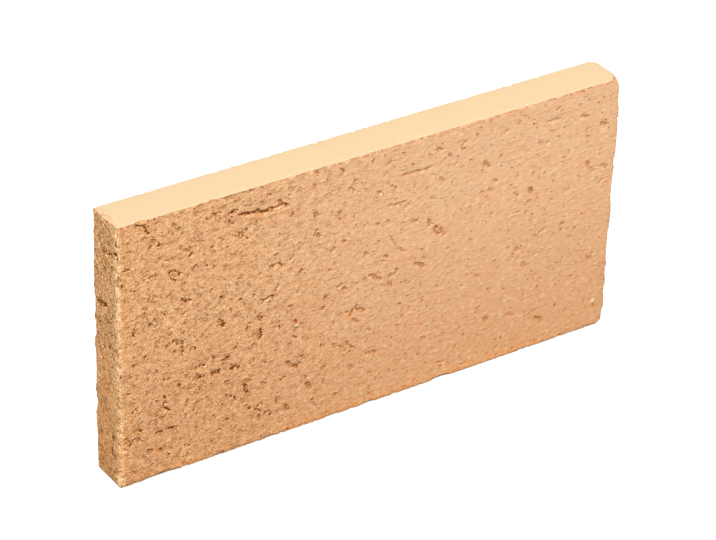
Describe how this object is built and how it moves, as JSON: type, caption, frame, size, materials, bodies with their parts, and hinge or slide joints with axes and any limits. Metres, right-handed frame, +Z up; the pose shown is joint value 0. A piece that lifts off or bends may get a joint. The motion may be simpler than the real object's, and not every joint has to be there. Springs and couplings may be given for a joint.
{
  "type": "clay brick",
  "caption": "Thin rectangular clay brick with rough pitted large faces, smooth long edges, sandy cut ends and worn corners, standing on its long edge.",
  "frame": {"origin": "centre of the bounding box at the level of the long edge that the brick stands on", "axes": "+X along the brick's length, +Y through its thickness from the pitted front face to the back, +Z up across its width"},
  "size_m": [0.25, 0.02, 0.124],
  "materials": {
    "fired_clay": "matte"
  },
  "bodies": {
    "root": {"clay_brick": "fired_clay"}
  },
  "joints": []
}
